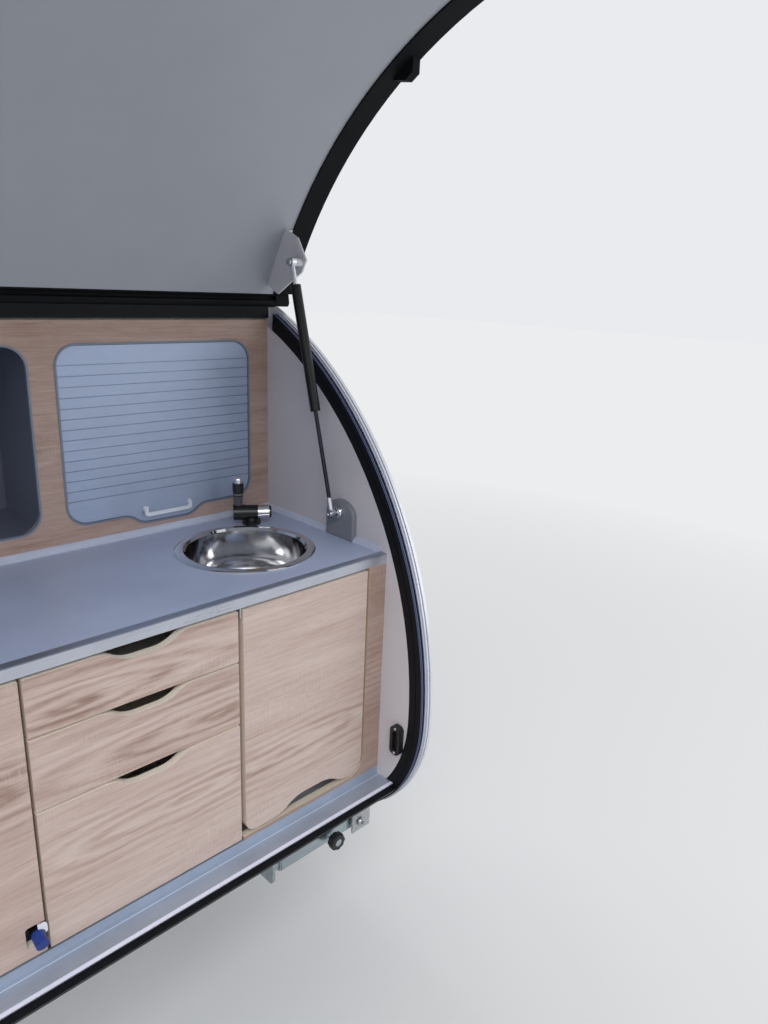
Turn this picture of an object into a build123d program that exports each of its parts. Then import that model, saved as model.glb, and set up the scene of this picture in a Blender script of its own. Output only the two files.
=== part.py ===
from build123d import *
import math
import os

# Rear galley section of a teardrop trailer, in mm. X is across, Y is forward, Z is up.
# The origin is on the front plane, where the section joins the cabin, just above the floor's middle.
# All pieces are drawn for the right side first and mirrored where both sides have them.

os.makedirs("parts", exist_ok=True)

# Side outline of the tail: an upper arc, a short upright and a lower corner arc
kitchen_depth = 720.0
tail_room = 127.0
tail_back = kitchen_depth + tail_room
arc_r = 918.0
arc_z = 215.0
upright = 12.0
corner_r = 358.0
body_drop = 63.0
arc_y = arc_r - tail_back
corner_y = corner_r - tail_back
corner_z = arc_z - upright
body_low = -body_drop

# Walls, floor and roof
half_in = 757.0
wall_thick = 35.0
trim_wide = 15.0
edge_step = 38.0
seal_base = 18.0
seal_lip = 4.0
fin_wide = 2.5
roof_thick = 25.0
floor_top = 20.0
floor_thick = 40.0
board = 16.0
wall_out = half_in + wall_thick
trim_in = wall_out - trim_wide
floor_low = floor_top - floor_thick

# Front of the kitchen
sill_up = 20.0
sill_plate = 4.0
sill_inset = 20.0
sill_seal = 14.0
front_y = -kitchen_depth
sill_top = floor_top + sill_up
gap = 5.0
bay = 384.0
worktop_high = 550.0
worktop_thick = 21.0
edge_deep = 18.0
worktop_top = floor_top + worktop_high
worktop_low = worktop_top - worktop_thick
fronts_low = sill_top + gap
fronts_top = worktop_low - gap - 1

# Facade and its openings
locker_depth = 275.0
facade_y = -locker_depth - board
header_high = 44.0
base_high = 44.0
centre_half = 205.0
post = 49.0
side_stile = 53.0
opening_radius = 45.0
frame_edge = 4.0

# Hatch and its hinge
hatch_turn = 91.0
hatch_over = 27.0
rim_low = 5.0
rim_wide = 52.0
shell_low = 12.0
shell_thick = 28.0
hatch_drop = 45.0
hinge_lift = 12.0
channel_r = 11.0
bead_r = 6.8
hatch_out = wall_out + hatch_over
shell_high = shell_low + shell_thick


def block(x0, x1, y0, y1, z0, z1):
    return Pos((x0 + x1) / 2, (y0 + y1) / 2, (z0 + z1) / 2) * Box(x1 - x0, y1 - y0, z1 - z0)


def mirrored(shape):
    return shape + shape.mirror(Plane.YZ)


def side_plate(face, x0, x1):
    """A face drawn with (y, z) as its (x, y), made solid from x0 to x1."""
    return extrude(Plane(origin=(x0, 0, 0), x_dir=(0, 1, 0), z_dir=(1, 0, 0)) * face, x1 - x0)


def front_plate(face, y0, y1):
    """A face drawn with (x, z) as its (x, y), made solid from y0 to y1."""
    return extrude(Plane(origin=(0, y1, 0), x_dir=(1, 0, 0), z_dir=(0, -1, 0)) * face, y1 - y0)


def flat_shape(points):
    return make_face(Polyline(*points, close=True))


def rectangle(u0, u1, v0, v1):
    return Pos((u0 + u1) / 2, (v0 + v1) / 2) * Rectangle(u1 - u0, v1 - v0)


def rounded(u0, u1, v0, v1, radius):
    return Pos((u0 + u1) / 2, (v0 + v1) / 2) * RectangleRounded(u1 - u0, v1 - v0, radius)


def rod_x(x0, x1, y, z, radius):
    return Pos((x0 + x1) / 2, y, z) * Rot(0, 90, 0) * Cylinder(radius, x1 - x0)


def rod_y(x, y0, y1, z, radius):
    return Pos(x, (y0 + y1) / 2, z) * Rot(90, 0, 0) * Cylinder(radius, y1 - y0)


def rod_z(x, y, z0, z1, radius):
    return Pos(x, y, (z0 + z1) / 2) * Cylinder(radius, z1 - z0)


def scoop(half_top, half_flat, depth):
    """A finger scoop below the line y = 0: a flat bottom with an S-curve up each side."""
    across = half_top - half_flat
    bend = (across**2 + depth**2) / (4 * depth)
    half_turn = math.asin(across / 2 / bend) / 2
    quarter_x = bend * math.sin(half_turn)
    quarter_z = bend * (1 - math.cos(half_turn))
    middle_x = half_flat + across / 2
    side = [
        ThreePointArc((half_top, 0), (half_top - quarter_x, -quarter_z), (middle_x, -depth / 2)),
        ThreePointArc((half_flat, -depth), (half_flat + quarter_x, quarter_z - depth), (middle_x, -depth / 2)),
    ]
    other = [edge.mirror(Plane.YZ) for edge in side]
    floor_line = Line((-half_flat, -depth), (half_flat, -depth))
    ends = [
        Line((half_top, 0), (half_top, 1)),
        Line((half_top, 1), (-half_top, 1)),
        Line((-half_top, 1), (-half_top, 0)),
    ]
    return make_face(side + [floor_line] + other + ends)


def outline_z(offset_out, y):
    return arc_z + math.sqrt((arc_r + offset_out) ** 2 - (arc_y - y) ** 2)


def outline_y(offset_out, z):
    """Where the lower corner of the outline, moved out by an offset, is at height z."""
    return corner_y - math.sqrt((corner_r + offset_out) ** 2 - (corner_z - z) ** 2)


def tail_face(offset_out, y_front, z_low):
    """The side outline moved out by an offset, from y_front to the tail and down to z_low."""
    upper = arc_r + offset_out
    lower = corner_r + offset_out
    z_front = outline_z(offset_out, y_front)
    middle = (math.atan2(z_front - arc_z, y_front - arc_y) + math.pi) / 2
    y_tail = arc_y - upper
    y_low = outline_y(offset_out, z_low)
    turn = math.asin((corner_z - z_low) / lower) / 2
    top_middle = (arc_y + upper * math.cos(middle), arc_z + upper * math.sin(middle))
    low_middle = (corner_y - lower * math.cos(turn), corner_z - lower * math.sin(turn))
    return make_face(
        [
            ThreePointArc((y_front, z_front), top_middle, (y_tail, arc_z)),
            Line((y_tail, arc_z), (y_tail, corner_z)),
            ThreePointArc((y_tail, corner_z), low_middle, (y_low, z_low)),
            Line((y_low, z_low), (y_front, z_low)),
            Line((y_front, z_low), (y_front, z_front)),
        ]
    )


def tail_strip(low, high, y_front, z_low):
    """The strip between two offsets of the outline, cut square at y_front and z_low."""
    inner = tail_face(low, y_front, z_low)
    return tail_face(high, y_front, z_low) - inner


def tail_band(low, high, x0, x1, y_front, z_low):
    return side_plate(tail_strip(low, high, y_front, z_low), x0, x1)


def save(shape, name):
    shape.label = name
    export_step(shape, "parts/" + name + ".step")


# Side walls, floor, front partition and roof strip
roof_back = facade_y + 7
under_roof = side_plate(tail_face(-roof_thick, 0, body_low), -half_in, half_in)
save(mirrored(side_plate(tail_face(-edge_step, 0, body_low), half_in, wall_out)), "side_walls")
floor_back = front_y + sill_plate
save(block(-half_in, half_in, floor_back, 0, floor_low, floor_top), "floor_panel")
front_room = side_plate(rectangle(-board, 0, floor_top, outline_z(0, 0)), -half_in, half_in)
save(under_roof & front_room, "front_partition")
roof_room = rectangle(roof_back, 0, worktop_top, outline_z(0, 0))
roof = side_plate(tail_strip(-roof_thick, 0, 0, body_low) & roof_room, -trim_in, trim_in)
batten = side_plate(tail_strip(-edge_step, -roof_thick, 0, body_low) & roof_room, half_in, trim_in)
save(roof + mirrored(batten), "roof_strip")

# Grooved edge trims, and ribbed seals in the step inside them
groove_wide = trim_wide / 4
groove_x = trim_in + groove_wide
trim = tail_band(-edge_step, 0, trim_in, wall_out, 0, body_low)
trim -= tail_band(-seal_lip - 2, 0, groove_x, groove_x + groove_wide, 0, body_low)
save(mirrored(trim), "edge_trims")
seal_front = roof_back - 26
fin_room = trim_in - half_in
seal = tail_band(-edge_step, seal_base - edge_step, half_in, trim_in, seal_front, body_low)
for fin in range(4):
    fin_x = half_in + fin_room * (fin + 0.5) / 4 - fin_wide / 2
    seal += tail_band(seal_base - edge_step, -seal_lip, fin_x, fin_x + fin_wide, seal_front, body_low)
seal = mirrored(seal)
cross_face = tail_strip(-sill_inset, sill_seal - sill_inset, 0, body_low)
cross_face &= rectangle(-2 * tail_back, front_y, floor_low + 4, floor_top - 10)
save(seal + side_plate(cross_face, -half_in, half_in), "tail_seals")

# Sill: a hollow section with an upstand, and the apron below it
sill_face = tail_face(-sill_inset, 0, body_low) & rectangle(-2 * tail_back, floor_back, floor_low, floor_top)
sill_face -= offset(sill_face, -sill_plate, kind=Kind.INTERSECTION)
sill_face += rectangle(front_y, floor_back, floor_top, sill_top)
save(side_plate(sill_face, -half_in, half_in), "sill")
apron_face = tail_strip(-sill_inset, 6 - sill_inset, 0, body_low)
apron_face &= rectangle(-2 * tail_back, front_y + 40, body_low + 8, floor_low)
save(side_plate(apron_face, -half_in, half_in), "tail_apron")

# Hinge rail: an open round channel on the roof's rear edge, with its seal board below
hinge_y = facade_y + 1
hinge_z = outline_z(0, hinge_y) + hinge_lift
outward = math.degrees(math.atan2(hinge_z - arc_z, hinge_y - arc_y))


def around(radius, angle):
    return (radius * math.cos(math.radians(angle)), radius * math.sin(math.radians(angle)))


channel = Circle(channel_r) - Circle(bead_r + 0.7)
mouth = [(0, 0)] + [around(3 * channel_r, outward + turn) for turn in (-75, -25, 25, 75)]
channel = Pos(hinge_y, hinge_z) * (channel - flat_shape(mouth))
board_top = outline_z(0, roof_back)
board_face = rectangle(roof_back - 12, roof_back, outline_z(-roof_thick, roof_back) + 1, board_top)
save(side_plate(channel, -trim_in, trim_in) + side_plate(board_face, -half_in, half_in), "hinge_rail")

# Facade with a centre opening and two wider side openings, each with a scoop for its handle
opening_low = worktop_top + base_high
opening_top = outline_z(-roof_thick, facade_y) - header_high
side_x0 = centre_half + post
side_x1 = half_in - side_stile
side_middle = (side_x0 + side_x1) / 2
handle_half = 58.0
side_opening = rounded(side_x0, side_x1, opening_low, opening_top, opening_radius)
side_opening += Pos(side_middle, opening_low) * scoop(handle_half + 48, handle_half - 12, base_high / 2)
centre_opening = rounded(-centre_half, centre_half, opening_low, opening_top, opening_radius)
facade_face = rectangle(-half_in, half_in, worktop_top, opening_top + 2 * header_high)
facade_face -= centre_opening + side_opening + side_opening.mirror(Plane.YZ)
save(front_plate(facade_face, facade_y, facade_y + board) & under_roof, "facade")

# Thin frames round the openings
frames = front_plate(side_opening - offset(side_opening, -frame_edge), facade_y - 2, facade_y + 6)
centre_frame = front_plate(centre_opening - offset(centre_opening, -frame_edge), facade_y - 2, facade_y + 6)
save(mirrored(frames) + centre_frame, "opening_frames")

# Locker boxes behind the facade
locker_board = 12.0
locker_low = opening_low - 26
locker_top = opening_top + 15
locker_front = facade_y + board
locker_x = centre_half + post / 2
locker = block(-half_in, half_in, locker_front, -board, locker_low, locker_low + locker_board)
locker += block(-half_in, half_in, locker_front, -board, locker_top, locker_top + locker_board)
locker += block(-half_in, half_in, -board - 8, -board, locker_low + locker_board, locker_top)
for divider in (-locker_x, locker_x):
    side = divider - locker_board / 2
    locker += block(side, side + locker_board, locker_front, -board - 8, locker_low + locker_board, locker_top)
save(locker, "locker_boxes")

# Roller shutters: grooves between the slats, a plain wide end slat and a bow handle
slat_pitch = 21.3
end_slat = 54.0
curtain_y = facade_y + 1
curtain = front_plate(offset(side_opening, -frame_edge - 1), curtain_y, curtain_y + 8)
for row in range(int((opening_top - opening_low - end_slat) / slat_pitch)):
    groove = opening_low + end_slat + row * slat_pitch
    curtain -= block(side_x0, side_x1, curtain_y - 1, curtain_y + 3, groove - 0.8, groove + 0.8)
save(mirrored(curtain), "shutters")
grip_low = opening_low - 4
grip_in = handle_half - 8
grip_face = rounded(side_middle - handle_half, side_middle + handle_half, grip_low, grip_low + 22, 8)
grip_face -= rounded(side_middle - grip_in, side_middle + grip_in, grip_low + 8, grip_low + 40, 4)
handle = front_plate(grip_face, curtain_y - 10, curtain_y - 5)
for x in (side_middle - handle_half, side_middle + handle_half - 8):
    handle += block(x, x + 8, curtain_y - 5, curtain_y, grip_low + 12, grip_low + 22)
save(mirrored(handle), "shutter_handles")

# Worktop with the sink's hole, its front edge and the skirting
bowl_r = 128.0
sink_rim = 21.0
bowl_deep = 140.0
sink_r = bowl_r + sink_rim
sink_x = bay + sink_r + 9
sink_y = (front_y + facade_y) / 2 - 1.5
worktop = block(-half_in, half_in, front_y + edge_deep, -board, worktop_low, worktop_top)
worktop -= rod_z(sink_x, sink_y, worktop_low - 1, worktop_top + 1, bowl_r + 4)
save(worktop, "worktop")
edge_face = rectangle(front_y, front_y + edge_deep, worktop_low, worktop_top)
edge_face = chamfer(edge_face.vertices().group_by(Axis.X)[0].sort_by(Axis.Y)[-1], 1.5)
save(side_plate(edge_face, -half_in, half_in), "worktop_edge")
skirt = 13.0
housing_wide = 92.0
housing_y = front_y + 144
skirt_face = flat_shape([(0, 0), (0, skirt), (-0.3 * skirt, skirt), (-skirt, 0.25 * skirt), (-skirt, 0)])
skirting = side_plate(Pos(facade_y, worktop_top) * skirt_face, -half_in, half_in)
side_skirt = front_plate(Pos(half_in, worktop_top) * skirt_face, front_y + edge_deep, facade_y - skirt)
housing_room = rectangle(housing_y - housing_wide / 2 - 1, housing_y + housing_wide / 2 + 1, 0, 2 * worktop_top)
side_skirt -= side_plate(housing_room, half_in - 2 * skirt, half_in)
save(skirting + mirrored(side_skirt), "skirting")

# Carcass: dividers, and the fixed stile and rail round each outer compartment
carcass_y = front_y + board + gap
stile_wide = 49.0
stile_x = half_in - stile_wide
rail_top = fronts_low + 3
carcass = None
for middle in (-bay, 0, bay):
    divider = block(middle - board / 2, middle + board / 2, carcass_y, -board, floor_top, worktop_low)
    carcass = divider if carcass is None else carcass + divider
stile_face = rectangle(bay, half_in, sill_top, worktop_low)
stile_face -= rectangle(bay, stile_x - opening_radius, rail_top, worktop_low)
stile_face -= rectangle(bay, stile_x, rail_top + opening_radius, worktop_low)
stile_face -= Pos(stile_x - opening_radius, rail_top + opening_radius) * Circle(opening_radius)
carcass += mirrored(front_plate(stile_face, front_y, front_y + board))
save(carcass, "carcass")

# Sink: a spun bowl with a raised rim and a waste
sheet = 2.0
knee = 0.55 * bowl_r
shoulder = 0.43 * bowl_deep
inner_r = bowl_r - sheet
bowl_face = make_face(
    [
        Line((0, -bowl_deep), (knee, -bowl_deep)),
        ThreePointArc((knee, -bowl_deep), (0.88 * bowl_r, -0.8 * bowl_deep), (bowl_r, -shoulder)),
        Line((bowl_r, -shoulder), (bowl_r, 0)),
        Line((bowl_r, 0), (sink_r, 0)),
        Line((sink_r, 0), (sink_r, 1.5)),
        ThreePointArc((sink_r, 1.5), (sink_r - 9, 4), (inner_r + 5, 3)),
        Line((inner_r + 5, 3), (inner_r, -2)),
        Line((inner_r, -2), (inner_r, -shoulder)),
        ThreePointArc(
            (inner_r, -shoulder), (0.88 * bowl_r - 1.5, sheet - 0.8 * bowl_deep), (knee, sheet - bowl_deep)
        ),
        Line((knee, sheet - bowl_deep), (0, sheet - bowl_deep)),
        Line((0, sheet - bowl_deep), (0, -bowl_deep)),
    ]
)
waste_r = 24.0
sink = Pos(sink_x, sink_y, worktop_top) * revolve(Plane.XZ * bowl_face, Axis.Z)
bowl_low = worktop_top - bowl_deep
sink -= rod_z(sink_x, sink_y, bowl_low - 1, bowl_low + 2 * sheet, waste_r - 4)
waste = rod_z(sink_x, sink_y, bowl_low - 30, bowl_low + sheet / 2, waste_r)
waste -= rod_z(sink_x, sink_y, bowl_low - 31, bowl_low + sheet, waste_r - 4)
save(sink + waste, "sink")

# Folding tap: a foot, a barrel turned towards the bowl, and an upright spout at its end
tap_r = 17.0
tap_half = 42.0
tap_turn = -31.4
tap_out = 51.3
tap_away, tap_back = around(sink_r + 25, tap_out)
tap_foot_r = 1.3 * tap_r
axis_high = tap_r + 10
tap = rod_z(0, 0, 0, axis_high, 0.8 * tap_r)
tap += rod_z(0, 0, 0, 6, tap_foot_r)
tap += rod_x(-tap_half, tap_half, 0, axis_high, tap_r)
tap += rod_x(-tap_half, 30 - tap_half, 0, axis_high, tap_r + 1)
tap += rod_x(tap_half, tap_half + 4, 0, axis_high, tap_r - 3)
neck_r = 8.5
shoulder_r = 11.5
collar_r = 13.0
collar_low = 53.0
collar_top = 72.0
knob_r = 10.0
knob_z = 78.0
crown = knob_r * math.sqrt(0.5)
spout_face = make_face(
    [
        Polyline((0, knob_z + knob_r), (0, 4), (neck_r, 4), (shoulder_r, collar_low - 12)),
        Polyline((shoulder_r, collar_low - 12), (collar_r - 1, collar_low - 10), (collar_r - 1, collar_low)),
        Polyline((collar_r - 1, collar_low), (collar_r, collar_low), (collar_r, collar_top - 1)),
        Polyline((collar_r, collar_top - 1), (knob_r, collar_top), (knob_r, knob_z)),
        ThreePointArc((knob_r, knob_z), (crown, knob_z + crown), (0, knob_z + knob_r)),
    ]
)
tap += Pos(12 - tap_half, 0, axis_high) * revolve(Plane.XZ * spout_face, Axis.Z)
tap = Pos(sink_x + tap_away, sink_y + tap_back, worktop_top) * Rot(0, 0, tap_turn) * tap
save(tap, "tap")

# Drawers: a front with a scoop, the open tray behind it, and the runners that carry it
drawer_x0 = gap / 2 + 0.5
drawer_x1 = bay - gap
tray_side = gap + 0.5
tray_x0 = board / 2 + tray_side
tray_x1 = bay - board / 2 - tray_side
tray_wall = 12.0
tray_deep = 500.0
tray_back = front_y + board + tray_deep
bottom_high = 261.0
middle_high = 127.0
middle_low = fronts_low + bottom_high + gap
top_low = middle_low + middle_high + gap
drawer_rows = (
    ("drawer_bottom", fronts_low, fronts_low + bottom_high),
    ("drawer_middle", middle_low, middle_low + middle_high),
    ("drawer_top", top_low, fronts_top),
)
grip_half = 87.0
grip_flat = 20.0
grip_deep = 21.0
grip_aside = 8.0
runners = None
for name, low, high in drawer_rows:
    front = block(drawer_x0, drawer_x1, front_y, front_y + board, low, high)
    middle = (drawer_x0 + drawer_x1) / 2
    grip = Pos(middle + grip_aside, high) * scoop(grip_half, grip_flat, grip_deep)
    front -= front_plate(grip, front_y - 1, front_y + board + 1)
    box_low = low + 14
    box_high = high - 22
    tray = block(tray_x0, tray_x1, front_y + board, tray_back, box_low, box_high)
    tray -= block(
        tray_x0 + tray_wall,
        tray_x1 - tray_wall,
        front_y + board,
        tray_back - tray_wall,
        box_low + 8,
        box_high + 1,
    )
    save(front, name)
    save(tray, name + "_tray")
    for x0, out in ((board / 2, 1), (bay - board / 2, -1)):
        shelf_x = sorted((x0, x0 + out * (tray_side + tray_wall)))
        lip_x = sorted((x0, x0 + out * 3))
        shelf = block(*shelf_x, carcass_y, tray_back, box_low - 3.3, box_low - 0.3)
        shelf += block(*lip_x, carcass_y, tray_back, box_low - 3.3, box_low + 14)
        runners = shelf if runners is None else runners + shelf
save(runners, "drawer_runners")

# Middle door on upright pivots, notched round the fixed corner fitting
door_x0 = -bay + gap + 1
door_x1 = -drawer_x0
pin_r = 3.0
pin_gap = 0.4
pivot_x = door_x0 + 7
pivot_y = front_y + board / 2
notch_wide = 31.0
notch_high = 40.0
notch_x = door_x1 - notch_wide
notch_low = fronts_low + 21
notch_top = notch_low + notch_high
door = block(door_x0, door_x1, front_y, front_y + board, fronts_low, fronts_top)
notch_face = rounded(notch_x, door_x1 + notch_wide, notch_low, notch_top, 5)
door -= front_plate(notch_face, front_y - 1, front_y + board + 1)
door_middle = (door_x0 + door_x1) / 2
grip = Pos(door_middle, fronts_top) * scoop(grip_half, grip_flat, grip_deep)
door -= front_plate(grip, front_y - 1, front_y + board + 1)
for z0, z1 in ((fronts_low, fronts_low + 13), (fronts_top - 13, fronts_top)):
    door -= rod_z(pivot_x, pivot_y, z0, z1, pin_r + pin_gap)
save(door, "middle_door")
fitting_x = notch_x + gap - 0.5
fitting_back = carcass_y + 9
fitting = block(fitting_x, -board / 2, front_y + board + 6, fitting_back, notch_low + 3, notch_top - 3)
cap_r = 10.5
cap_x = notch_x + notch_wide / 2 + 2
cap_z = notch_low + 0.46 * notch_high
fitting += rod_y(cap_x, front_y - 8, fitting_back - 3, cap_z, cap_r - 3)
cap = Pos(cap_x, front_y - 12, cap_z) * Rot(12, 0, 0) * Rot(90, 0, 0) * Cylinder(cap_r, 24)
fitting += cap
save(fitting, "corner_fitting")

# Flap tables on pins under the worktop, each with an ear for its stay
flap_x0 = bay + gap + 1
flap_x1 = stile_x - gap - 1
flap_low = rail_top + gap + 0.5
flap_axis_y = front_y + board / 2
flap_axis_z = fronts_top - 7
ear_in = 44.0
ear_down = 222.0
ear_y = flap_axis_y + ear_in
ear_z = flap_axis_z - ear_down
ear_x = bay + board / 2 + 12
ear_thick = 4.0
flap_face = rectangle(flap_x0, flap_x1, flap_low, fronts_top)
low_corners = flap_face.vertices().group_by(Axis.Y)[0].sort_by(Axis.X)
flap_face = fillet(low_corners[0], 25)
flap_face = fillet(flap_face.vertices().group_by(Axis.Y)[0].sort_by(Axis.X)[-1], opening_radius - gap)
flap_middle = (flap_x0 + flap_x1) / 2
wave_aside = 14.0
flap_face -= Pos(flap_middle + wave_aside, flap_low) * Rot(0, 0, 180) * scoop(108, 22, 26)
flap = front_plate(flap_face, front_y, front_y + board)
for x0, x1 in ((flap_x0, flap_x0 + 13), (flap_x1 - 13, flap_x1)):
    flap -= rod_x(x0, x1, flap_axis_y, flap_axis_z, pin_r + pin_gap)
ear_back = front_y + board - ear_y
ear_face = flat_shape([(ear_back, 46), (ear_back, -40), (-24, -36), (11, -9), (14, 2), (11, 14), (-22, 42)])
flap += side_plate(Pos(ear_y, ear_z) * ear_face, ear_x, ear_x + ear_thick)
stay_thick = 3.5
stay_x1 = ear_x - 1.5
stay_x0 = stay_x1 - stay_thick
stay_pin_r = 4.0
flap += rod_x(stay_x0 - 1.5, ear_x, ear_y, ear_z, stay_pin_r)
flap += rod_x(ear_x + ear_thick, ear_x + ear_thick + 3, ear_y, ear_z, 7)
save(flap, "flap_right")
save(flap.mirror(Plane.YZ), "flap_left")

# Pins and brackets that carry the flaps and the middle door
plate_thick = 2.5
brackets = block(bay, bay + plate_thick, front_y + 2, carcass_y, flap_axis_z - 8, worktop_low)
brackets += rod_x(bay + plate_thick, flap_x0 + 10, flap_axis_y, flap_axis_z, pin_r)
brackets += rod_x(flap_x1 - 10, stile_x, flap_axis_y, flap_axis_z, pin_r)
brackets = mirrored(brackets)
for z0, z1, pin0, pin1 in (
    (worktop_low - 3, worktop_low, fronts_top - 11, worktop_low - 3),
    (floor_top, fronts_low - 3, fronts_low - 3, fronts_low + 11),
):
    brackets += block(pivot_x - 9, pivot_x + 9, front_y + sill_plate + 1, carcass_y, z0, z1)
    brackets += rod_z(pivot_x, pivot_y, pin0, pin1, pin_r)
save(brackets, "pivot_brackets")

# Flap stays: a slotted plate on the ear's pin, whose far pin runs in a curved guide
stay_length = 384.5
stay_closed = 26.0
stay_turn = 61.9
flap_turn = 90.0
slot_gap = 1.2
guide_x = bay + board / 2


def guide_point(part):
    """Where the stay's far pin is when the flap has opened by this part of its turn."""
    turn = math.radians(-flap_turn * part)
    y = flap_axis_y + ear_in * math.cos(turn) + ear_down * math.sin(turn)
    z = flap_axis_z + ear_in * math.sin(turn) - ear_down * math.cos(turn)
    dy, dz = around(stay_length, stay_closed - stay_turn * part)
    return (y + dy, z + dz)


def track(points, half):
    shape = None
    for (y0, z0), (y1, z1) in zip(points, points[1:]):
        length = math.hypot(y1 - y0, z1 - z0)
        angle = math.degrees(math.atan2(z1 - z0, y1 - y0))
        piece = Pos((y0 + y1) / 2, (z0 + z1) / 2) * Rot(0, 0, angle) * SlotOverall(length + 2 * half, 2 * half)
        shape = piece if shape is None else shape + piece
    return shape


path = [guide_point(step / 12) for step in range(13)]
guide_face = track(path, stay_pin_r + slot_gap + 9) - track(path, stay_pin_r + slot_gap)
save(mirrored(side_plate(guide_face, guide_x, guide_x + 4)), "stay_guides")
stay_wide = 44.0
window = 16.0
bar = (stay_wide - window) / 4 + window / 2
stay_face = Pos(stay_length / 2, 0) * RectangleRounded(stay_length + 30, stay_wide, 10)
stay_face -= Pos(stay_length / 2 + 15, 0) * RectangleRounded(stay_length - 55, window, 5)
half = stay_wide / 2
stay_face += flat_shape([(0, half), (-14, half - 4), (-14, -half - 4), (10, -half - 18), (46, -half)])
for count, start, row_z in ((6, 62, bar), (5, 87, -bar)):
    for row in range(count):
        stay_face -= Pos(start + row * 50, row_z) * Rot(0, 0, 35) * SlotOverall(14, 4)
stay_face -= Circle(stay_pin_r + pin_gap)
stay_face = Pos(ear_y, ear_z) * Rot(0, 0, stay_closed) * stay_face
stay = side_plate(stay_face, stay_x0, stay_x1)
stay += rod_x(guide_x + 1, stay_x0, path[0][0], path[0][1], stay_pin_r)
save(stay, "stay_right")
save(stay.mirror(Plane.YZ), "stay_left")

# Water canisters on the compartment floor, hollow, with a carrying grip and a cap
can_wide = 128.0
can_deep = 230.0
can_high = 212.0
can_wall = 3.0
cans = None
caps = None
for can_x, can_y in ((bay + 102, front_y + 80), (half_in - can_wide - gap, front_y + 130)):
    can = block(can_x, can_x + can_wide, can_y, can_y + can_deep, floor_top, floor_top + can_high)
    can = fillet(can.edges().filter_by(Axis.Z), 18)
    can = fillet(can.faces().sort_by(Axis.Z)[-1].edges(), 16)
    middle = can_x + can_wide / 2
    top = floor_top + can_high
    can += rod_z(middle, can_y + 46, top, top + 8, 27)
    can -= block(
        can_x + can_wall + 4,
        can_x + can_wide - can_wall - 4,
        can_y + can_wall + 4,
        can_y + can_deep - can_wall - 4,
        floor_top + can_wall,
        top - can_wall - 5,
    )
    can -= rod_z(middle, can_y + 46, top - 20, top + 9, 22)
    grip = block(middle - 12, middle + 12, can_y + 96, can_y + can_deep - 30, top, top + 30)
    can += grip - block(middle - 13, middle + 13, can_y + 112, can_y + can_deep - 46, top - 1, top + 18)
    lid = rod_z(middle, can_y + 46, top + 8, top + 34, 31)
    cans = can if cans is None else cans + can
    caps = lid if caps is None else caps + lid
save(cans, "water_canisters")
save(caps, "canister_caps")

# Strut anchors on the side walls: an arched housing, a disc and a stud
strut_x = half_in - 35
eye_half = 6.0
stud_y = housing_y - 1
stud_z = worktop_top + 61
housing_thick = 12.0
housing_x = half_in - housing_thick
arch_z = stud_z - 6
housing_face = rectangle(housing_y - housing_wide / 2, housing_y + housing_wide / 2, worktop_top, arch_z)
housing_face += Pos(housing_y, arch_z) * Ellipse(housing_wide / 2, 0.36 * housing_wide)
housing = side_plate(housing_face, housing_x, half_in)
save(mirrored(fillet(housing.faces().sort_by(Axis.X)[0].edges(), 4)), "strut_housings")
stud = rod_x(strut_x + eye_half + 0.6, housing_x, stud_y, stud_z, 5)
stud += rod_x(housing_x - 4, housing_x, stud_y, stud_z, 14)
save(mirrored(stud), "strut_studs")

# D-shaped latch keepers on the side walls
keeper_wide = 30.0
keeper_high = 72.0
keeper_thick = 14.0
keeper_up = 124.0
keeper_place = Pos(front_y - tail_room / 2, floor_top + keeper_up)
keeper = side_plate(keeper_place * RectangleRounded(keeper_wide, keeper_high, 12), half_in - keeper_thick, half_in)
keeper -= side_plate(
    keeper_place * RectangleRounded(keeper_wide - 16, keeper_high - 22, 6), half_in - keeper_thick, half_in - 5
)
save(mirrored(keeper), "latch_keepers")

# Chassis rails with bolted end plates, and the rear cross member
rail_x = 440.0
rail_high = 80.0
rail_wide = 40.0
steel = 3.0
bolt_pitch = 70.0
bolt_r = 5.5
end_plate = 8.0
beam_y = front_y + 80
beam_deep = 40.0
beam_high = 40.0
rail_side = rail_x - rail_wide / 2
rail = block(rail_side, rail_side + rail_wide, beam_y + beam_deep, -end_plate, floor_low - rail_high, floor_low)
rail -= block(
    rail_side + steel,
    rail_side + rail_wide,
    beam_y + beam_deep,
    -end_plate,
    floor_low - rail_high + steel,
    floor_low - steel,
)
plate_half = bolt_pitch / 2 + 15
plate_low = floor_low - 2 * plate_half
rail += block(rail_x - plate_half, rail_x + plate_half, -end_plate, 0, plate_low, floor_low)
for dx in (-bolt_pitch / 2, bolt_pitch / 2):
    for z in (plate_low + 15, plate_low + 15 + bolt_pitch):
        rail -= rod_y(rail_x + dx, -end_plate - 1, 1, z, bolt_r)
save(mirrored(rail), "chassis_rails")
beam_face = rectangle(beam_y, beam_y + beam_deep, floor_low - beam_high, floor_low)
beam_face -= offset(beam_face, -steel, kind=Kind.INTERSECTION)
save(side_plate(beam_face, -half_in, half_in), "cross_member")

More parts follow.
